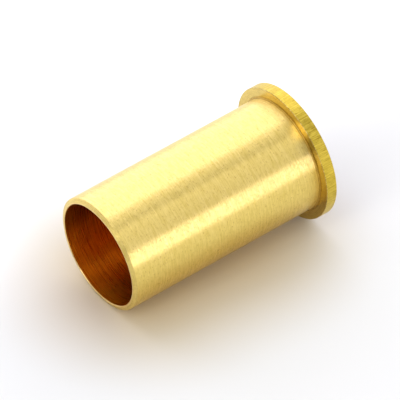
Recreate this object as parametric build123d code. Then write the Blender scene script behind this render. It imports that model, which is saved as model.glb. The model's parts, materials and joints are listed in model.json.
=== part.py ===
"""Brass guitar slide: a thin turned tube with a flange collar brazed on one end.

Millimetres. The slide lies on its side with +Z up and the bore along X. The origin is on the
bore's axis, halfway along the slide. The open mouth is at low X and the flange at high X.
Each separate piece of metal is one node, written to parts/NODE.step.
"""
from build123d import *
import os

# Tube that the finger wears and that touches the strings
TUBE_OUTER_RADIUS = 12.5
TUBE_WALL = 1.2
MOUTH_TO_SHOULDER = 46.3

# Flange collar over the tube's end, flush with it. The tube is turned down there to a spigot,
# so that its step seats the collar square while it is brazed.
COLLAR_RADIUS = 14.8
COLLAR_THICKNESS = 2.5
SPIGOT_STEP = 0.3

# Mouth end: a wide bevel outside, a flat ring, then a fine break at the bore's edge
MOUTH_BEVEL_RADIAL = 0.84
MOUTH_BEVEL_AXIAL = 0.48
MOUTH_BORE_BREAK = 0.1

# Flange end: the edges a player's hand touches are eased
END_BORE_CHAMFER = 0.3
RIM_SHOULDER_BREAK = 0.08
RIM_END_CHAMFER = 0.2

# Ring of braze filler in the corner between the tube and the collar's shoulder
BRAZE_LEG = 0.4

# Worked out from the sizes above
BORE_RADIUS = TUBE_OUTER_RADIUS - TUBE_WALL
SPIGOT_RADIUS = TUBE_OUTER_RADIUS - SPIGOT_STEP
SLIDE_LENGTH = MOUTH_TO_SHOULDER + COLLAR_THICKNESS
MOUTH_X = -SLIDE_LENGTH / 2
END_X = SLIDE_LENGTH / 2
SHOULDER_X = MOUTH_X + MOUTH_TO_SHOULDER


def turned(*corners):
    """A solid turned about the X axis from a closed outline of (place along the axis, radius)."""
    outline = Polyline(*[(x, 0, radius) for x, radius in corners], close=True)
    return revolve(make_face(outline), axis=Axis.X, revolution_arc=360)


def slide_tube():
    """The through tube: outside bevel at the mouth, spigot at the flange end, broken bore edges."""
    return turned(
        (MOUTH_X + MOUTH_BORE_BREAK, BORE_RADIUS),
        (MOUTH_X, BORE_RADIUS + MOUTH_BORE_BREAK),
        (MOUTH_X, TUBE_OUTER_RADIUS - MOUTH_BEVEL_RADIAL),
        (MOUTH_X + MOUTH_BEVEL_AXIAL, TUBE_OUTER_RADIUS),
        (SHOULDER_X, TUBE_OUTER_RADIUS),
        (SHOULDER_X, SPIGOT_RADIUS),
        (END_X, SPIGOT_RADIUS),
        (END_X, BORE_RADIUS + END_BORE_CHAMFER),
        (END_X - END_BORE_CHAMFER, BORE_RADIUS),
    )


def flange_collar():
    """The flat ring over the tube's spigot: its bore is the spigot's size, line to line."""
    return turned(
        (SHOULDER_X, SPIGOT_RADIUS),
        (SHOULDER_X, COLLAR_RADIUS - RIM_SHOULDER_BREAK),
        (SHOULDER_X + RIM_SHOULDER_BREAK, COLLAR_RADIUS),
        (END_X - RIM_END_CHAMFER, COLLAR_RADIUS),
        (END_X, COLLAR_RADIUS - RIM_END_CHAMFER),
        (END_X, SPIGOT_RADIUS),
    )


def braze_fillet():
    """The ring of filler metal that holds the collar to the tube."""
    return turned(
        (SHOULDER_X - BRAZE_LEG, TUBE_OUTER_RADIUS),
        (SHOULDER_X, TUBE_OUTER_RADIUS + BRAZE_LEG),
        (SHOULDER_X, TUBE_OUTER_RADIUS),
    )


NODES = {
    "slide_tube": slide_tube,
    "flange_collar": flange_collar,
    "braze_fillet": braze_fillet,
}

os.makedirs("parts", exist_ok=True)
for node_name, make_node in NODES.items():
    export_step(make_node(), f"parts/{node_name}.step")
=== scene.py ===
"""Looks of the brass guitar slide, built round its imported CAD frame.

Metres, +Z up, the bore along X with the open mouth at low X. Every piece is turned: a closed
outline of (place along the axis, radius) is rounded at its corners and swept round the X axis.
"""
import json
import math

import bpy
import numpy as np
from mathutils import Matrix, Vector

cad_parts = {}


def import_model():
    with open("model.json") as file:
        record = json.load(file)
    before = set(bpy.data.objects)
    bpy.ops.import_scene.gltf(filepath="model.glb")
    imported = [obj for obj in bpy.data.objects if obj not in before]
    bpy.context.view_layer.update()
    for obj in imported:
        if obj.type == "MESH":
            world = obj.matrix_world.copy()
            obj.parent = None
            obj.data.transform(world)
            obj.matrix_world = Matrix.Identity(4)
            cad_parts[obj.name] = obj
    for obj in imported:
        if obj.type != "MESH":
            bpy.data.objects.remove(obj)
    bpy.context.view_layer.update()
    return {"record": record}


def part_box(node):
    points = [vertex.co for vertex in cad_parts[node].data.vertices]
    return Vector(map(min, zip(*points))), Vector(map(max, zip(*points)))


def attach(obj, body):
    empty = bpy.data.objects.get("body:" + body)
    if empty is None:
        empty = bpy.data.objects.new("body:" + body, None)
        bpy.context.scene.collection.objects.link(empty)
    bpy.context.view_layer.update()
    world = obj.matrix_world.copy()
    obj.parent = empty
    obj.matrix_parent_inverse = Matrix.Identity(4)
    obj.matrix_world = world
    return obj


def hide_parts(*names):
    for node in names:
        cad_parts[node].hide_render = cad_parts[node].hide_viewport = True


MM = 0.001
TURN_STEPS = 360
ARC_STEPS = 4


# ---------------------------------------------------------------- sizes, read from the frame

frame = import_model()
mounts = {m["name"]: m for m in frame["record"]["mounts"]}
tube_low, tube_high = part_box("slide_tube")
collar_low, collar_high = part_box("flange_collar")
braze_low, braze_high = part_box("braze_fillet")

BORE = mounts["finger_bore"]["dims"]["r_mm"] * MM
TUBE = mounts["tube_outside"]["dims"]["r_mm"] * MM
MOUTH_X = tube_low.x
END_X = tube_high.x
SHOULDER_X = collar_low.x
RIM = max(collar_high.y, collar_high.z)
BRAZE = braze_high.x - braze_low.x


# ---------------------------------------------------------------- turned meshes

def rounded_outline(corners):
    """Points and outward normals of a closed outline, with each corner rounded by an arc.

    Each corner is (x, radius, rounding, zone of the wall that follows it). Corners run so
    that the metal is on the right of the walk.
    """
    count = len(corners)
    places = [Vector(c[:2]) for c in corners]
    points = []
    for i, (_, _, rounding, zone) in enumerate(corners):
        here = places[i]
        to_last = (places[i - 1] - here).normalized()
        to_next = (places[(i + 1) % count] - here).normalized()
        normal_in = Vector((to_last.y, -to_last.x))
        normal_out = Vector((-to_next.y, to_next.x))
        half = to_last.angle(to_next) / 2
        hub = here + (to_last + to_next).normalized() * (rounding / math.sin(half))
        convex = normal_in.dot(hub - here) < 0
        for step in range(ARC_STEPS + 1):
            share = step / ARC_STEPS
            normal = normal_in.slerp(normal_out, share)
            place = hub + normal * (rounding if convex else -rounding)
            last_zone = corners[i - 1][3]
            points.append((place, normal, last_zone if step < ARC_STEPS / 2 else zone))
    return points


def with_rings(points, longest):
    """The outline with its long walls divided, so that no stretch is longer than this."""
    out = []
    for i, (place, normal, zone) in enumerate(points):
        out.append((place, normal, zone))
        nxt, nxt_normal, _ = points[(i + 1) % len(points)]
        pieces = max(1, math.ceil((nxt - place).length / longest))
        for k in range(1, pieces):
            share = k / pieces
            out.append((place.lerp(nxt, share), normal.lerp(nxt_normal, share), zone))
    return out


def swept(along, outward):
    """The outline's numbers along the axis and out from it, at every step round the axis."""
    angles = np.linspace(0, 2 * math.pi, TURN_STEPS, endpoint=False)
    along = np.array(along)[:, None]
    outward = np.array(outward)[:, None]
    rows = [along + 0 * angles, outward * np.cos(angles), outward * np.sin(angles)]
    return np.stack(rows, -1).reshape(-1, 3).tolist()


def turned(name, corners, materials, longest=1.0 * MM):
    """A closed mesh turned from the outline, with a material for each zone of its wall."""
    outline = with_rings(rounded_outline(corners), longest)
    zones = list(materials)
    vertices = swept([p.x for p, _, _ in outline], [p.y for p, _, _ in outline])
    normals = swept([n.x for _, n, _ in outline], [n.y for _, n, _ in outline])
    faces = []
    face_zones = []
    for i, (_, _, zone) in enumerate(outline):
        here = i * TURN_STEPS
        after = (i + 1) % len(outline) * TURN_STEPS
        for k in range(TURN_STEPS):
            m = (k + 1) % TURN_STEPS
            faces.append([here + k, here + m, after + m, after + k])
            face_zones.append(zones.index(zone))
    mesh = bpy.data.meshes.new(name)
    mesh.from_pydata(vertices, [], faces)
    for zone in zones:
        mesh.materials.append(materials[zone])
    mesh.polygons.foreach_set("material_index", face_zones)
    mesh.polygons.foreach_set("use_smooth", [True] * len(faces))
    mesh.update()
    mesh.normals_split_custom_set_from_vertices(normals)
    return placed(name, mesh)


def placed(name, data):
    """A new object in the scene."""
    made = bpy.data.objects.new(name, data)
    bpy.context.scene.collection.objects.link(made)
    return made


# ---------------------------------------------------------------- node trees

class Nodes:
    """Short calls that build a node tree."""

    def __init__(self, tree):
        self.tree = tree

    def feed(self, source, target):
        """Links an output to an input, or sets the input to a plain value."""
        if isinstance(source, bpy.types.NodeSocket):
            self.tree.links.new(source, target)
        else:
            target.default_value = source

    def add(self, kind, *inputs, **settings):
        node = self.tree.nodes.new(kind)
        for key, value in settings.items():
            setattr(node, key, value)
        for socket, value in zip(node.inputs, inputs):
            self.feed(value, socket)
        return node

    def math(self, operation, *inputs):
        return self.add("ShaderNodeMath", *inputs, operation=operation).outputs[0]

    def times(self, first, second):
        return self.math("MULTIPLY", first, second)

    def plus(self, first, second):
        return self.math("ADD", first, second)

    def vector(self, operation, *inputs):
        return self.add("ShaderNodeVectorMath", *inputs, operation=operation).outputs[0]

    def scaled(self, vector, factor):
        node = self.add("ShaderNodeVectorMath", vector, operation="SCALE")
        self.feed(factor, node.inputs["Scale"])
        return node.outputs[0]

    def point(self, x, y, z):
        return self.add("ShaderNodeCombineXYZ", x, y, z).outputs[0]

    def parts(self, vector):
        return self.add("ShaderNodeSeparateXYZ", vector).outputs

    def noise(self, vector, detail, rough):
        node = self.add("ShaderNodeTexNoise", noise_dimensions="3D")
        self.feed(vector, node.inputs["Vector"])
        node.inputs["Scale"].default_value = 1.0
        node.inputs["Detail"].default_value = detail
        node.inputs["Roughness"].default_value = rough
        return node.outputs["Fac"]

    def span(self, value, low, high, to_low, to_high, smooth=False):
        """value, taken from one range to another and kept inside it."""
        kind = "SMOOTHSTEP" if smooth else "LINEAR"
        node = self.add("ShaderNodeMapRange", value, low, high, to_low, to_high,
                        interpolation_type=kind)
        return node.outputs["Result"]

    def window(self, value, start, end, soft):
        """1 between two values, falling softly to 0 outside them."""
        rise = self.span(value, start - soft, start + soft, 0.0, 1.0, smooth=True)
        fall = self.span(value, end - soft, end + soft, 1.0, 0.0, smooth=True)
        return self.times(rise, fall)

    def blend(self, share, first, second):
        """A colour between two others, each a socket or a plain (red, green, blue)."""
        node = self.add("ShaderNodeMix", data_type="RGBA")
        self.feed(share, node.inputs[0])
        self.feed((*first, 1) if isinstance(first, tuple) else first, node.inputs[6])
        self.feed((*second, 1) if isinstance(second, tuple) else second, node.inputs[7])
        return node.outputs[2]


def surface(name):
    """A new material, with its nodes and its shader."""
    material = bpy.data.materials.new(name)
    material.use_nodes = True
    nodes = Nodes(material.node_tree)
    return material, nodes, material.node_tree.nodes["Principled BSDF"]


# ---------------------------------------------------------------- brass

GOLD = (0.92, 0.715, 0.22)
GOLD_DARK = (0.72, 0.535, 0.12)
# Partly painted shade: the turned faces are a darker brass, darkened further for the shade in the
# corner at the tube's root; the end faces share it.
DEEP_BRASS_AND_SHADE = (0.79, 0.60, 0.16)
DEEP_DARK_AND_SHADE = (0.60, 0.43, 0.09)
LIP = (0.90, 0.68, 0.26)
LIP_DARK = (0.76, 0.54, 0.18)
BEVEL = (0.82, 0.64, 0.20)
BEVEL_DARK = (0.64, 0.48, 0.12)
OLIVE = (0.74, 0.56, 0.07)
OLIVE_DARK = (0.44, 0.30, 0.025)
EDGE = (0.80, 0.62, 0.26)
# Painted reflection: the shoulder edge is near black between bright brass dashes, for the dark
# shadows and bright glints that it mirrors.
EDGE_PAINTED_DARK_REFLECTION = (0.14, 0.09, 0.02)
# Painted shade: the bore's deep amber stands in for the darker, redder light that bounces round
# inside the bore.
BORE_PAINTED_SHADE = (0.72, 0.25, 0.008)
BORE_PAINTED_SHADE_DARK = (0.52, 0.145, 0.003)
FILLER = (0.62, 0.41, 0.075)
FILLER_DARK = (0.42, 0.26, 0.035)

NO_TINT = (1.0, 1.0, 1.0)
# Painted reflection: an amber tint on the bore's glancing reflections, for the same light
# bouncing round inside it.
BORE_PAINTED_REFLECTION_TINT = (1.0, 0.62, 0.30)
WORN_SHARE = (0.68, 0.56, 0.45)

# How often each kind of mark changes, as shares of the material's fine and coarse, and its
# detail. The mottle runs no way, so it has one number to the millimetre.
LINES = (1.0, 0.5, 3.0)
DASHES = (1.2, 2.0, 2.0)
LONG_LINES = (0.8, 0.1, 2.0)
PITS = (1.1, 2.6, 1.0)
MARK_ROUGH = 0.6
MOTTLE_PER_MM = 1.1
MOTTLE_DETAIL = 3.0
MOTTLE_ROUGH = 0.65

# The stretch of noise that each effect grows over.
SHADE_SPAN = (0.40, 0.60)
PIT_SPAN = (0.28, 0.38)
ROUGH_SPAN = (0.36, 0.64)
ROUGH_SWING = 0.06
TURN_TO_MARKS = 0.25


def directions(nodes):
    """Place in millimetres, distance from the axis, and unit vectors out from it and round it."""
    where = nodes.add("ShaderNodeTexCoord").outputs["Object"]
    place = nodes.vector("MULTIPLY", where, (1 / MM, 1 / MM, 1 / MM))
    off_axis = nodes.vector("MULTIPLY", place, (0, 1, 1))
    radius = nodes.add("ShaderNodeVectorMath", off_axis, operation="LENGTH").outputs["Value"]
    out = nodes.vector("NORMALIZE", off_axis)
    round_axis = nodes.vector("CROSS_PRODUCT", (1, 0, 0), out)
    return place, radius, out, round_axis


def mark_space(nodes, marks, place, radius, fine, coarse):
    """A stretched space, whose noise makes marks that run round, across the face, or along."""
    if marks == "round":
        return nodes.vector("MULTIPLY", place, (fine, coarse, coarse))
    if marks == "along":
        return nodes.vector("MULTIPLY", place, (coarse, fine, fine))
    _, y, z = nodes.parts(place)
    return nodes.point(nodes.times(radius, fine), nodes.times(y, coarse), nodes.times(z, coarse))


def mixed(nodes, parts):
    """The sum of noises, each taken by its share."""
    total = None
    for noise, share in parts:
        part = nodes.times(noise, share)
        total = part if total is None else nodes.plus(total, part)
    return total


def brass(name, colour, dark, roughness, anisotropy, marks, fine=5.0, coarse=0.8,
          tilt_with=0.11, tilt_across=0.5, speck=0.4, glancing=NO_TINT):
    """Machined brass whose tool marks all run one way.

    marks is round, face or along. fine and coarse are how often the marks change to the
    millimetre, across and along them. The tilts are how far the marks lean the surface along
    and across themselves. speck is how dark the pits are, and glancing tints a low view.
    """
    material, nodes, shader = surface(name)
    place, radius, out, round_axis = directions(nodes)
    across = {"round": (1.0, 0.0, 0.0), "face": out, "along": round_axis}[marks]
    with_marks = (1.0, 0.0, 0.0) if marks == "along" else round_axis

    def marked(times_fine, times_coarse, detail):
        space = mark_space(nodes, marks, place, radius, fine * times_fine, coarse * times_coarse)
        return nodes.noise(space, detail, MARK_ROUGH)

    lines = marked(*LINES)
    dashes = marked(*DASHES)
    long_lines = marked(*LONG_LINES)
    pits = marked(*PITS)
    mottle = nodes.noise(nodes.scaled(place, MOTTLE_PER_MM), MOTTLE_DETAIL, MOTTLE_ROUGH)

    shade = mixed(nodes, ((lines, 0.35), (dashes, 0.25), (mottle, 0.15), (long_lines, 0.25)))
    base = nodes.blend(nodes.span(shade, *SHADE_SPAN, 0.0, 1.0), dark, colour)
    worn = tuple(value * share for value, share in zip(dark, WORN_SHARE))
    pitted = nodes.blend(nodes.span(pits, *PIT_SPAN, speck, 0.0), base, worn)
    nodes.feed(pitted, shader.inputs["Base Color"])

    rough = mixed(nodes, ((dashes, 0.5), (long_lines, 0.5)))
    rough = nodes.span(rough, *ROUGH_SPAN, roughness - ROUGH_SWING, roughness + ROUGH_SWING)
    nodes.feed(rough, shader.inputs["Roughness"])

    lean_with = nodes.scaled(with_marks, nodes.span(lines, 0.0, 1.0, -tilt_with, tilt_with))
    lean_across = nodes.scaled(across, nodes.span(dashes, 0.0, 1.0, -tilt_across, tilt_across))
    normal = nodes.add("ShaderNodeNewGeometry").outputs["Normal"]
    leaned = nodes.vector("ADD", normal, nodes.vector("ADD", lean_with, lean_across))
    nodes.feed(nodes.vector("NORMALIZE", leaned), shader.inputs["Normal"])

    tangent = nodes.add("ShaderNodeTangent", direction_type="RADIAL", axis="X")
    nodes.feed(tangent.outputs[0], shader.inputs["Tangent"])
    shader.inputs["Metallic"].default_value = 1.0
    shader.inputs["Specular Tint"].default_value = (*glancing, 1.0)
    shader.inputs["Anisotropic"].default_value = anisotropy
    turn = 0.0 if marks == "along" else TURN_TO_MARKS
    shader.inputs["Anisotropic Rotation"].default_value = turn
    return material


tube_turned = brass("tube_turned", GOLD, GOLD_DARK, 0.34, 0.9, "round", fine=3.2,
                    tilt_with=0.07, tilt_across=0.32, speck=0.5)
# Painted shade: the bore is coloured darker and redder than the brass, for the light that bounces
# round inside it.
tube_bore = brass("tube_bore", BORE_PAINTED_SHADE, BORE_PAINTED_SHADE_DARK, 0.30, 0.9, "round", coarse=0.12,
                  tilt_with=0.08, tilt_across=0.3, speck=0.1, glancing=BORE_PAINTED_REFLECTION_TINT)
mouth_faced = brass("mouth_faced", LIP, LIP_DARK, 0.34, 0.6, "face")
mouth_bevelled = brass("mouth_bevelled", BEVEL, BEVEL_DARK, 0.42, 0.7, "round")
# Partly painted shade: part of the flange face's darkness stands in for the shade near the root.
collar_faced = brass("collar_faced", DEEP_BRASS_AND_SHADE, DEEP_DARK_AND_SHADE, 0.17, 0.9, "face", coarse=0.3,
                     tilt_with=0.04, tilt_across=0.2)
collar_rim = brass("collar_rim", OLIVE, OLIVE_DARK, 0.36, 0.4, "along", fine=6.0, coarse=0.3,
                   tilt_with=0.2, tilt_across=0.2, speck=0.8)
# Painted reflection: a near-black edge colour with bright dashes, for the shadows and glints the
# edge mirrors.
collar_edge = brass("collar_edge", EDGE, EDGE_PAINTED_DARK_REFLECTION, 0.30, 0.0, "along", fine=2.5, coarse=3.0)
braze = brass("braze", FILLER, FILLER_DARK, 0.40, 0.0, "round")


# ---------------------------------------------------------------- pieces

SPIGOT_STEP = 0.3 * MM
SPIGOT = TUBE - SPIGOT_STEP
BEVEL_LOW = TUBE - 0.84 * MM
BEVEL_HIGH = TUBE - 0.03 * MM
BEVEL_STEP_X = MOUTH_X + 0.46 * MM
BEVEL_END_X = MOUTH_X + 0.52 * MM
OUTSIDE_X = MOUTH_X + 0.56 * MM
MOUTH_BREAK = 0.10 * MM
END_BREAK = 0.30 * MM
SHOULDER_BREAK = 0.06 * MM
RIM_ROUNDING = 0.18 * MM
SEAM_ROUNDING = 0.05 * MM


def tube_piece():
    """The through tube, with the bevel and flat ring of its mouth."""
    corners = [
        (MOUTH_X + MOUTH_BREAK, BORE, 0.03 * MM, "lip"),
        (MOUTH_X, BORE + MOUTH_BREAK, 0.03 * MM, "face"),
        (MOUTH_X, BEVEL_LOW, 0.04 * MM, "bevel"),
        (BEVEL_STEP_X, BEVEL_HIGH, 0.02 * MM, "bevel"),
        (BEVEL_END_X, BEVEL_HIGH, 0.02 * MM, "bevel"),
        (OUTSIDE_X, TUBE, 0.03 * MM, "outside"),
        (SHOULDER_X, TUBE, 0.01 * MM, "hidden"),
        (SHOULDER_X, SPIGOT, 0.01 * MM, "hidden"),
        (END_X, SPIGOT, SEAM_ROUNDING, "end"),
        (END_X, BORE + END_BREAK, 0.05 * MM, "end_lip"),
        (END_X - END_BREAK, BORE, 0.05 * MM, "bore"),
    ]
    materials = {
        "lip": mouth_faced,
        "face": mouth_faced,
        "bevel": mouth_bevelled,
        "outside": tube_turned,
        "hidden": tube_turned,
        "end": collar_faced,
        "end_lip": mouth_faced,
        "bore": tube_bore,
    }
    piece = turned("turned_tube", corners, materials)
    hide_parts("slide_tube")
    return piece


def collar_piece():
    """The flange: a flat ring with a crisp shoulder edge and an eased end edge."""
    corners = [
        (SHOULDER_X, SPIGOT, 0.01 * MM, "face"),
        (SHOULDER_X, RIM - SHOULDER_BREAK, 0.02 * MM, "edge"),
        (SHOULDER_X + SHOULDER_BREAK, RIM, 0.02 * MM, "rim"),
        (END_X, RIM, RIM_ROUNDING, "end"),
        (END_X, SPIGOT, SEAM_ROUNDING, "hidden"),
    ]
    materials = {
        "face": collar_faced,
        "edge": collar_edge,
        "rim": collar_rim,
        "end": collar_faced,
        "hidden": collar_faced,
    }
    piece = turned("flange_ring", corners, materials)
    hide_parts("flange_collar")
    return piece


def braze_piece():
    """The hollow fillet of filler in the corner between the tube and the collar."""
    corners = [
        (SHOULDER_X - BRAZE, TUBE, 0.002 * MM, "face"),
        (SHOULDER_X - 0.35 * BRAZE, TUBE + 0.05 * BRAZE, 0.1 * MM, "face"),
        (SHOULDER_X - 0.05 * BRAZE, TUBE + 0.35 * BRAZE, 0.1 * MM, "face"),
        (SHOULDER_X, TUBE + BRAZE, 0.002 * MM, "back"),
        (SHOULDER_X, TUBE, 0.02 * MM, "back"),
    ]
    piece = turned("braze_ring", corners, {"face": braze, "back": braze}, longest=0.1 * MM)
    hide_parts("braze_fillet")
    return piece


for made in (tube_piece(), collar_piece(), braze_piece()):
    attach(made, "root")


# ---------------------------------------------------------------- floor

MOUTH_REST_X = MOUTH_X + 0.5 * MM
FLOOR_TILT = math.atan2(RIM - TUBE, SHOULDER_X - MOUTH_REST_X)
UP = Vector((math.sin(FLOOR_TILT), 0, math.cos(FLOOR_TILT)))
ALONG = Vector((math.cos(FLOOR_TILT), 0, -math.sin(FLOOR_TILT)))
ASIDE = Vector((0, 1, 0))
FLOOR_GAP = 0.02 * MM
FLOOR_POINT = Vector((SHOULDER_X, 0, -RIM)) - UP * FLOOR_GAP
FLOOR_HALF = 3.0
FLOOR_WHITE = (0.76, 0.76, 0.63)
# Painted light: the floor is whiter behind the slide, where the background light falls.
FLOOR_PAINTED_BACK_LIGHT = (0.94, 0.94, 0.80)
# Painted shadow: a warmer, darker floor colour close to the slide, for its shade and the warm
# light its brass throws back.
FLOOR_PAINTED_SHADOW = (0.62, 0.52, 0.32)
PAINTED_SHADOW_FROM_X = -14 * MM
PAINTED_SHADOW_TO_X = 3 * MM
PAINTED_SHADOW_NEAR = 4 * MM
PAINTED_SHADOW_FAR = 37 * MM
PAINTED_BACK_LIGHT_FAR = 40 * MM


def floor_material():
    """Matt white, with a painted warm shadow close to the slide for its shade and the light that
    its brass throws on the floor, and painted lighter behind, where the background light falls.
    """
    material, nodes, shader = surface("floor")
    where = nodes.add("ShaderNodeTexCoord").outputs["Object"]
    x, y, _ = nodes.parts(where)
    beside = nodes.math("MINIMUM", nodes.math("MAXIMUM", x, PAINTED_SHADOW_FROM_X), PAINTED_SHADOW_TO_X)
    past = nodes.math("SUBTRACT", x, beside)
    away = nodes.math("SQRT", nodes.plus(nodes.times(y, y), nodes.times(past, past)))
    # Painted shadow: how much of the warm shade colour is used, full beside the slide and gone
    # far from it.
    painted_shadow_share = nodes.span(away, PAINTED_SHADOW_NEAR, PAINTED_SHADOW_FAR, 1.0, 0.0, smooth=True)
    # Painted light: how much of the whiter floor is used, growing toward the back.
    painted_back_light_share = nodes.span(y, 0.0, PAINTED_BACK_LIGHT_FAR, 0.0, 1.0, smooth=True)
    white = nodes.blend(painted_back_light_share, FLOOR_WHITE, FLOOR_PAINTED_BACK_LIGHT)
    nodes.feed(nodes.blend(painted_shadow_share, white, FLOOR_PAINTED_SHADOW), shader.inputs["Base Color"])
    shader.inputs["Roughness"].default_value = 1.0
    shader.inputs["Specular IOR Level"].default_value = 0.0
    return material


def floor():
    """The pale floor. It leans in this frame, because the slide rests on mouth and flange."""
    ways = ((-1, -1), (1, -1), (1, 1), (-1, 1))
    corners = [FLOOR_POINT + ALONG * a * FLOOR_HALF + ASIDE * b * FLOOR_HALF for a, b in ways]
    mesh = bpy.data.meshes.new("floor")
    mesh.from_pydata([list(c) for c in corners], [], [[0, 1, 2, 3]])
    mesh.materials.append(floor_material())
    placed("floor", mesh)


# ---------------------------------------------------------------- camera

CAMERA_AZIMUTH = math.radians(37.01)
CAMERA_ELEVATION = math.radians(42.02)
CAMERA_LENS = 542
CAMERA_RIGHT = 20.30 * MM
CAMERA_UP = 11.01 * MM
CAMERA_BACK = 1198.4 * MM


def camera():
    """A long lens from above the mouth end, level with the floor."""
    right = ALONG * math.cos(CAMERA_AZIMUTH) - ASIDE * math.sin(CAMERA_AZIMUTH)
    ahead = ALONG * math.sin(CAMERA_AZIMUTH) + ASIDE * math.cos(CAMERA_AZIMUTH)
    forward = ahead * math.cos(CAMERA_ELEVATION) - UP * math.sin(CAMERA_ELEVATION)
    up = ahead * math.sin(CAMERA_ELEVATION) + UP * math.cos(CAMERA_ELEVATION)
    mouth = Vector((MOUTH_X, 0, 0))
    place = mouth + right * CAMERA_RIGHT + up * CAMERA_UP - forward * CAMERA_BACK
    data = bpy.data.cameras.new("camera")
    data.sensor_width = 36
    data.lens = CAMERA_LENS
    data.clip_start = 0.01
    data.clip_end = 100
    turn = Matrix((right, up, -forward)).transposed().to_4x4()
    made = placed("camera", data)
    made.matrix_world = Matrix.Translation(place) @ turn
    bpy.context.scene.camera = made


# ---------------------------------------------------------------- light

BOX_DISTANCE = 1.5
BOX_WHITE = (1.0, 1.0, 1.6)
ROOM_WHITE = (1.0, 1.0, 1.14)
PLAIN_WHITE = (1.0, 1.0, 1.0)
ROOM = 1.04
MOUTH_SIDE = 0.7
GAP = 3.4
LAMPS = 0.35
END_SHADE = 0.15
CARD_SHADE = 0.30

# Parts of the room, each from one value to another with a soft edge. Angles are in degrees
# round the bore's axis, from the front up. X is how far toward the flange end a ray leans.
LOW_LAMPS_ANGLE = (38, 52, 2)
HIGH_LAMPS_ANGLE = (63, 68, 2)
LAMPS_X = (-0.15, 0.15, 0.08)
CARD_ANGLE = (70, 83, 3)
END_SHADE_X = (0.30, 0.60, 0.08)
END_SHADE_ANGLE = (-40, 88, 8)
GAP_ANGLE = (61, 88, 4)
STAND_ANGLE = (-4, 51, 4)
MOUTH_SIDE_X = (-0.50, -0.33)
STAND_X = (-0.42, -0.26)


def soft_box(name, angle, half_angle, length, radiance, along):
    """An area light seen from the slide at an angle round the bore's axis, from the front up."""
    turn = math.radians(angle)
    out = Vector((0, -math.cos(turn), math.sin(turn)))
    across = Vector((0, math.sin(turn), math.cos(turn)))
    side = Vector((1, 0, 0))
    width = 2 * BOX_DISTANCE * math.tan(math.radians(half_angle))
    data = bpy.data.lights.new(name, "AREA")
    data.shape = "RECTANGLE"
    data.size = length
    data.size_y = width
    data.energy = radiance * math.pi * length * width
    data.color = BOX_WHITE
    lamp = placed(name, data)
    facing = Matrix((side, across, out)).transposed().to_4x4()
    lamp.matrix_world = Matrix.Translation(out * BOX_DISTANCE + side * along) @ facing
    lamp.visible_camera = False


def end_side_light(nodes, x, angle):
    """The room square to the slide and past its flange: rows of small lamps and a few shades."""
    low_row = nodes.times(nodes.window(angle, *LOW_LAMPS_ANGLE), LAMPS)
    high_row = nodes.times(nodes.window(angle, *HIGH_LAMPS_ANGLE), LAMPS)
    lamps = nodes.times(nodes.plus(low_row, high_row), nodes.window(x, *LAMPS_X))
    card = nodes.times(nodes.window(angle, *CARD_ANGLE), -CARD_SHADE)
    shade = nodes.times(nodes.window(x, *END_SHADE_X), nodes.window(angle, *END_SHADE_ANGLE))
    shade = nodes.times(shade, -END_SHADE)
    return nodes.plus(nodes.plus(nodes.plus(lamps, card), shade), 1.0)


def mouth_side_light(nodes, angle):
    """The room past the mouth: dimmer, with a bright gap high up."""
    gap = nodes.times(nodes.window(angle, *GAP_ANGLE), GAP - MOUTH_SIDE)
    return nodes.plus(gap, MOUTH_SIDE)


def world():
    """Soft light all round, with a few bright and dark places that the brass mirrors.

    The stand is a dark one, low past the mouth. The backdrop itself is plain white.
    """
    made = bpy.data.worlds.new("studio")
    made.use_nodes = True
    nodes = Nodes(made.node_tree)
    toward = nodes.add("ShaderNodeTexCoord").outputs["Generated"]
    x, y, z = nodes.parts(toward)
    angle = nodes.math("DEGREES", nodes.math("ARCTAN2", z, nodes.times(y, -1.0)))

    past_mouth = nodes.span(x, *MOUTH_SIDE_X, 1.0, 0.0, smooth=True)
    both = nodes.add("ShaderNodeMix", past_mouth, data_type="FLOAT")
    nodes.feed(end_side_light(nodes, x, angle), both.inputs[2])
    nodes.feed(mouth_side_light(nodes, angle), both.inputs[3])
    beside_mouth = nodes.span(x, *STAND_X, 1.0, 0.0, smooth=True)
    stand = nodes.times(nodes.window(angle, *STAND_ANGLE), beside_mouth)
    light = nodes.times(both.outputs[0], ROOM)
    light = nodes.times(light, nodes.math("SUBTRACT", 1.0, stand))

    plain = nodes.add("ShaderNodeLightPath").outputs["Is Camera Ray"]
    background = made.node_tree.nodes["Background"]
    nodes.feed(nodes.blend(plain, ROOM_WHITE, PLAIN_WHITE), background.inputs["Color"])
    nodes.feed(nodes.math("MAXIMUM", light, plain), background.inputs["Strength"])
    bpy.context.scene.world = made


floor()
camera()
world()
soft_box("back_box", angle=148, half_angle=49, length=4.0, radiance=0.85, along=1.4)
soft_box("front_box", angle=9, half_angle=16, length=0.5, radiance=4.1, along=0.10)
bpy.context.scene.view_settings.view_transform = "Standard"
